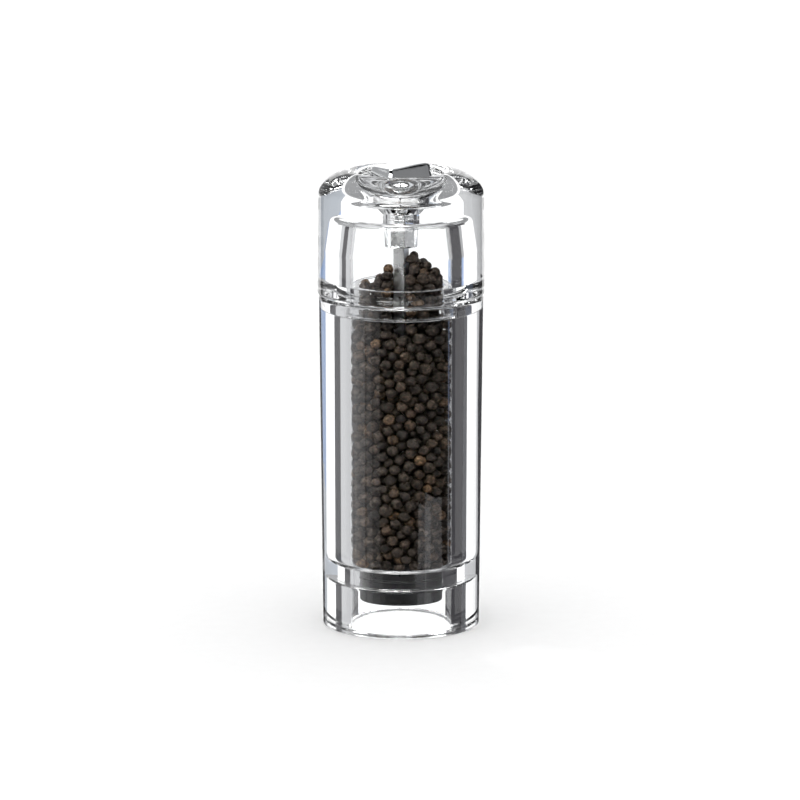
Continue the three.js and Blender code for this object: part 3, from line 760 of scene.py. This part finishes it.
def burr(name, levels, teeth, other_radius, body, node, outer_is_toothed):
    """A ceramic burr from (height, tip radius, root radius, twist) levels.

    Helical teeth are on one side and a plain round face on the other.
    """
    points_per_tooth = 6
    steps = 6
    count = teeth * points_per_tooth
    fine = []
    for level, following in zip(levels, levels[1:]):
        for step in range(steps):
            share = step / steps
            fine.append([here + (there - here) * share for here, there in zip(level, following)])
    fine.append(levels[-1])
    teeth_loops = [
        loop(z, toothed(tip, root, points_per_tooth), count, twist) for z, tip, root, twist in fine]
    plain_low, plain_high = (
        loop(z, circle(other_radius), count, twist) for z, _, _, twist in (levels[0], levels[-1]))
    if outer_is_toothed:
        loops = [*teeth_loops, plain_high, plain_low]
    else:
        loops = [plain_low, plain_high, *reversed(teeth_loops)]
    return place(lofted(name, loops, CERAMIC, smooth_angle=25), body, "grinder_ceramic", node)


def burrs():
    """Fixed ring with teeth inside, and turning cone with teeth outside."""
    ring_low, ring_high = node_mm("grinding_ring")
    cone_low, cone_high = node_mm("grinding_cone")
    ring_levels = [
        (ring_low.z, 9.5, 10.1, 0.0),
        (ring_low.z + 3.0, 8.75, 9.5, 0.06),
        (ring_high.z, 9.3, 10.3, 0.18),
    ]
    cone_levels = [
        (cone_low.z, 9.05, 8.5, 0.0),
        (cone_low.z + 3.0, 8.25, 7.7, -0.08),
        (cone_high.z, 6.0, 5.2, -0.26),
    ]
    burr("ceramic_ring", ring_levels, 36, ring_high.x, "mill_body", "grinding_ring", False)
    burr("ceramic_cone", cone_levels, 30, 4.2, "shaft", "grinding_cone", True)


# ---- peppercorns ----
def wrinkled_corn(seed):
    """Unit corn: a lumpy icosphere with low ridges."""
    form = bmesh.new()
    bmesh.ops.create_icosphere(form, subdivisions=2, radius=1.0)
    shift = Vector((seed * 7.3, seed * 3.1, seed * 5.7))
    points = []
    for vertex in form.verts:
        direction = vertex.co.normalized()
        ridges = 1 - abs(noise.noise(direction * 2.6 + shift)) * 2
        lumps = noise.noise(direction * 1.2 - shift)
        radius = 0.94 + 0.07 * ridges + 0.05 * lumps
        points.append(direction * radius)
    faces = [[vertex.index for vertex in face.verts] for face in form.faces]
    form.free()
    return np.array(points), np.array(faces)


def heap_height(x, r):
    """Upper limit for the centres of corns: a heap that is higher on the right of the shaft."""
    right = HEAP_RIGHT - HEAP_RIGHT_SLOPE * r
    left = HEAP_LEFT - HEAP_LEFT_SLOPE * r
    share = np.clip(x / 3 + 0.5, 0, 1)
    return left + (right - left) * share


def floor_height(r, radius):
    """Height that a corn's centre comes to rest at on the grinder or the floor."""
    bridge_reach = bridge_high.x + radius * 0.6
    if r < bridge_reach:
        return bridge_high.z + CORN_GAP + radius
    return housing_high.z + CORN_GAP + radius


def settle(corns, used, candidates, radius):
    """Resting height of a corn of this radius over each candidate place."""
    distance = np.hypot(candidates[:, 0], candidates[:, 1])
    height = np.array([floor_height(r, radius) for r in distance])
    if used:
        placed = corns[:used]
        top = placed[:, 2].max()
        placed = placed[placed[:, 2] > top - SETTLING_DEPTH]
        across = candidates[:, None, :2] - placed[None, :, :2]
        gap = across[:, :, 0] ** 2 + across[:, :, 1] ** 2
        reach = (radius + placed[None, :, 3]) ** 2
        rest = np.where(gap < reach, placed[None, :, 2] + np.sqrt(np.maximum(reach - gap, 0)), -1.0)
        height = np.maximum(height, rest.max(axis=1))
    wall = np.where(height + radius < BODY_TOP - REGISTER_DEPTH, BORE_RADIUS, MOUTH_RADIUS)
    blocked = (distance + radius > wall - WALL_GAP) | (distance - radius < SHAFT_CLEARANCE)
    x, y = candidates.T
    blocked |= height > heap_height(x, distance)
    hides_shaft = (x + radius > SHAFT_SHOWS_FROM) & (x - radius < SHAFT_SHOWS_TO) & (y < 0)
    blocked |= hides_shaft & (height > SHAFT_SHOWS)
    return np.where(blocked, NO_PLACE, height)


def poured_corns(random):
    """Centres and radii of corns poured in one by one, each in the lowest place it can find."""
    corns = np.zeros((MOST_CORNS, 4))
    tries, nearby_tries, most_misses = 26, 12, 25
    used = misses = 0
    while misses < most_misses and used < len(corns):
        radius = float(np.clip(random.normal(CORN_RADIUS, CORN_SPREAD), SMALLEST_CORN, LARGEST_CORN))
        inner = SHAFT_CLEARANCE + radius
        outer = BORE_RADIUS - radius - WALL_GAP
        reach = np.sqrt(random.uniform(inner ** 2, outer ** 2, tries))
        angle = random.uniform(0, TAU, tries)
        spots = np.column_stack((reach * np.cos(angle), reach * np.sin(angle)))
        heights = settle(corns, used, spots, radius)
        best, lowest = spots[heights.argmin()], heights.min()
        for spread in (1.2, 0.6, 0.3, 0.15):
            nearby = best + random.normal(0, spread, (nearby_tries, 2))
            heights = settle(corns, used, nearby, radius)
            if heights.min() < lowest:
                best, lowest = nearby[heights.argmin()], heights.min()
        if lowest == NO_PLACE:
            misses += 1
            continue
        corns[used] = (*best, lowest, radius)
        used += 1
        misses = 0
    return corns[:used]


def turn_matrices(random, count):
    """Random rotations, one for each corn."""
    q = random.normal(size=(count, 4))
    q /= np.linalg.norm(q, axis=1)[:, None]
    w, x, y, z = q.T
    return np.stack([
        np.stack([1 - 2 * (y * y + z * z), 2 * (x * y - z * w), 2 * (x * z + y * w)], 1),
        np.stack([2 * (x * y + z * w), 1 - 2 * (x * x + z * z), 2 * (y * z - x * w)], 1),
        np.stack([2 * (x * z - y * w), 2 * (y * z + x * w), 1 - 2 * (x * x + y * y)], 1),
    ], 1)


def corn_layer(name, corns, turns, shades, forms):
    """One mesh of separate corns, each with its own shade."""
    vertices, faces, tints = [], [], []
    start = 0
    for index, (corn, turn, shade) in enumerate(zip(corns, turns, shades)):
        points, triangles = forms[index % len(forms)]
        vertices.append(points @ turn.T * corn[3] + corn[:3])
        faces.append(triangles + start)
        tints.append(np.full(len(points), shade, dtype=np.float32))
        start += len(points)
    vertices = (np.concatenate(vertices) * MM).astype(np.float32)
    faces = np.concatenate(faces).astype(np.int32)
    mesh = bpy.data.meshes.new(name)
    mesh.vertices.add(len(vertices))
    mesh.vertices.foreach_set("co", vertices.ravel())
    mesh.loops.add(faces.size)
    mesh.loops.foreach_set("vertex_index", faces.ravel())
    mesh.polygons.add(len(faces))
    mesh.polygons.foreach_set("loop_start", np.arange(0, faces.size, 3, dtype=np.int32))
    mesh.update(calc_edges=True)
    mesh.shade_smooth()
    mesh.attributes.new("shade", "FLOAT", "POINT").data.foreach_set("value", np.concatenate(tints))
    mesh.materials.append(PEPPER)
    piece = bpy.data.objects.new(name, mesh)
    bpy.context.collection.objects.link(piece)
    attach(piece, "mill_body")
    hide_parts("peppercorn_fill")
    return piece


def peppercorns():
    """The whole fill of separate corns, in layers from the floor up."""
    random = np.random.default_rng(20)
    corns = poured_corns(random)
    turns = turn_matrices(random, len(corns))
    shades = random.beta(1.6, 2.2, len(corns))
    forms = [wrinkled_corn(seed) for seed in range(12)]
    bounds = np.linspace(corns[:, 2].min() - 1, corns[:, 2].max() + 1, LAYERS + 1)
    for layer, (low, high) in enumerate(zip(bounds, bounds[1:]), start=1):
        inside = (corns[:, 2] >= low) & (corns[:, 2] < high)
        corn_layer(f"peppercorns_{layer}", corns[inside], turns[inside], shades[inside], forms)


# ---- CAD nodes that keep their shape ----
def dress(material, *nodes):
    """Gives CAD nodes a material and keeps their meshes."""
    for node in nodes:
        slots = frame["nodes"][node].data.materials
        slots.clear()
        slots.append(material)


# ---- stage ----
def camera():
    """Long lens, looking slightly down at the front."""
    data = bpy.data.cameras.new("camera")
    data.sensor_width = 36.0
    data.lens = 226.9
    data.clip_end = 100.0
    view = bpy.data.objects.new("camera", data)
    view.location = (-0.0004, -1.7452, 0.4257)
    view.rotation_euler = (math.radians(90 - CAMERA_PITCH), 0, 0)
    bpy.context.collection.objects.link(view)
    bpy.context.scene.camera = view
    return view


def floor():
    """Plain pale floor. Reflections and views through the clear shells pass it and meet the panels."""
    reach = 6.0
    corners = [(-reach, -reach, 0), (reach, -reach, 0), (reach, reach, 0), (-reach, reach, 0)]
    mesh = bpy.data.meshes.new("floor")
    mesh.from_pydata(corners, [], [(0, 1, 2, 3)])
    mesh.materials.append(white_floor())
    plane = bpy.data.objects.new("floor", mesh)
    bpy.context.collection.objects.link(plane)
    plane.visible_transmission = False
    plane.visible_glossy = False


def world():
    """Even white room light for matt surfaces; reflections come from the panels."""
    room = bpy.data.worlds.new("room")
    bpy.context.scene.world = room
    room.use_nodes = True
    background = room.node_tree.nodes["Background"]
    background.inputs["Color"].default_value = (1, 1, 1, 1)
    background.inputs["Strength"].default_value = 1.1
    room.cycles_visibility.glossy = False
    room.cycles_visibility.transmission = False


def glow(name, colour, strength):
    """Material of a light panel: it only glows."""
    s = Shader(name, Roughness=1.0, Specular_IOR_Level=0.0)
    s.surface.inputs["Base Color"].default_value = (0, 0, 0, 1)
    s.surface.inputs["Emission Color"].default_value = (*colour, 1)
    s.surface.inputs["Emission Strength"].default_value = strength
    return s.material


def hide_from_camera(mesh):
    """A stage object that is seen only in reflections and through the clear walls."""
    piece = bpy.data.objects.new(mesh.name, mesh)
    bpy.context.collection.objects.link(piece)
    piece.visible_camera = False
    piece.visible_diffuse = False
    piece.visible_shadow = False
    return piece


def panel(name, holder, side, rise, colour, strength):
    """A far light panel that spans two azimuths and two elevations, in degrees from the view line."""
    steps = 6
    vertices = []
    for degrees in rise:
        elevation = math.radians(degrees)
        across, up = math.cos(elevation) * PANEL_DISTANCE, math.sin(elevation) * PANEL_DISTANCE
        for step in range(steps + 1):
            azimuth = math.radians(side[0] + (side[1] - side[0]) * step / steps)
            vertices.append((math.sin(azimuth) * across, math.cos(azimuth) * across, up))
    faces = [(i, i + 1, steps + 2 + i, steps + 1 + i) for i in range(steps)]
    mesh = bpy.data.meshes.new(name)
    mesh.from_pydata(vertices, [], faces)
    mesh.materials.append(glow(name, colour, strength))
    hide_from_camera(mesh).parent = holder


def studio(view):
    """Bright-field studio that stands square to the camera: white behind and above, with cool and
    grey patches at its sides, and soft front lights above the line of the walls' reflections."""
    holder = bpy.data.objects.new("studio", None)
    bpy.context.collection.objects.link(holder)
    holder.parent = view
    tilt = math.radians(90 - CAMERA_PITCH)
    holder.rotation_euler = (-tilt, 0, 0)
    white, grey = (1, 1, 1), (0.97, 0.98, 1.0)
    pale_blue, blue = (0.86, 0.92, 1.0), (0.5, 0.66, 1.0)
    panel("back", holder, (-33, 31), (-60, 15), white, 1.3)
    panel("back_gap", holder, (-75, 75), (15, 33), grey, 0.34)
    panel("back_left", holder, (-75, -33), (-60, 15), grey, 0.66)
    panel("back_right_low", holder, (31, 75), (-60, -11.5), pale_blue, 0.62)
    panel("back_right_middle", holder, (31, 75), (-11.5, -9.5), blue, 0.75)
    panel("back_right_high", holder, (31, 75), (-9.5, 15), grey, 0.45)
    panel("left_side", holder, (-100, -75), (-30, 40), white, 0.9)
    panel("left_haze", holder, (-134, -104), (-30, 4), white, 0.5)
    panel("knob_light", holder, (100, 150), (2, 50), grey, 0.24)
    panel("top", holder, (-180, 180), (62, 89), white, 1.2)
    panel("top_back", holder, (-75, 75), (33, 62), grey, 0.8)
    panel("below", holder, (-180, 180), (-89, -60), white, 0.9)
    panel("key", holder, (-175, -115), (22, 60), white, 10.0)
    panel("fill", holder, (150, 180), (25, 60), white, 8.0)


def near_sheet(name, corners, colour, strength):
    """A small glowing sheet close to the mill, from four corners in millimetres."""
    mesh = bpy.data.meshes.new(name)
    mesh.from_pydata([tuple(c * MM for c in corner) for corner in corners], [], [(0, 1, 2, 3)])
    mesh.materials.append(glow(name, colour, strength))
    hide_from_camera(mesh)


def card(name, x, rise, depth, colour, strength):
    """An upright card beside the mill, from its two heights and its two places front to back."""
    (low, high), (front, back) = rise, depth
    near_sheet(name, [(x, front, low), (x, back, low), (x, back, high), (x, front, high)], colour, strength)


def side_cards():
    """Dark and grey cards beside the mill that draw the dark lines in its thick walls, and a bright
    patch of table that the front wall reflects."""
    dark, grey = (0.62, 0.6, 0.66), (0.97, 0.98, 1.0)
    right, left = CARD_DISTANCE, -CARD_DISTANCE
    beside_body, beside_head, beside_dish = (-60, CARD_JOINT), (CARD_JOINT, CARD_DISH), (CARD_DISH, 170)
    card("card_right_low", right, beside_body, (-8, 43), dark, 0.09)
    card("card_right_high", right, beside_head, (-8, 13), dark, 0.11)
    card("card_left_low", left, beside_body, (15, 50), dark, 0.1)
    card("card_left_low_grey", left, beside_body, (-8, 15), grey, 0.62)
    card("card_right_top", right, beside_dish, (-8, 60), dark, 0.1)
    card("card_left_top", left, beside_dish, (-8, 60), grey, 0.4)
    card("card_left_high", left, beside_head, (2, 10), dark, 0.1)
    card("card_left_high_grey", left, beside_head, (-8, 2), grey, 0.62)
    table = 0.4
    patch = [(24, -50, table), (135, -210, table), (200, -130, table), (45, -35, table)]
    near_sheet("table_glow", patch, grey, 1.0)


view = camera()
floor()
world()
studio(view)
side_cards()

body_shell()
cap_shell()
cap_socket()
knob()
drive_shaft()
housing()
o_ring()
retainer()
burrs()
peppercorns()
dress(BLACK, "grinder_bridge", "cone_carrier")
dress(STEEL, "spring", "upper_spring_washer", "lower_spring_washer", "cone_washer", "retaining_clip")
dress(brass(), "knob_nut")
dress(nylon(), "knob_washer")

render = bpy.context.scene
render.view_settings.view_transform = "Standard"
render.cycles.max_bounces = 32
render.cycles.transmission_bounces = 32
render.cycles.glossy_bounces = 8
render.cycles.diffuse_bounces = 3
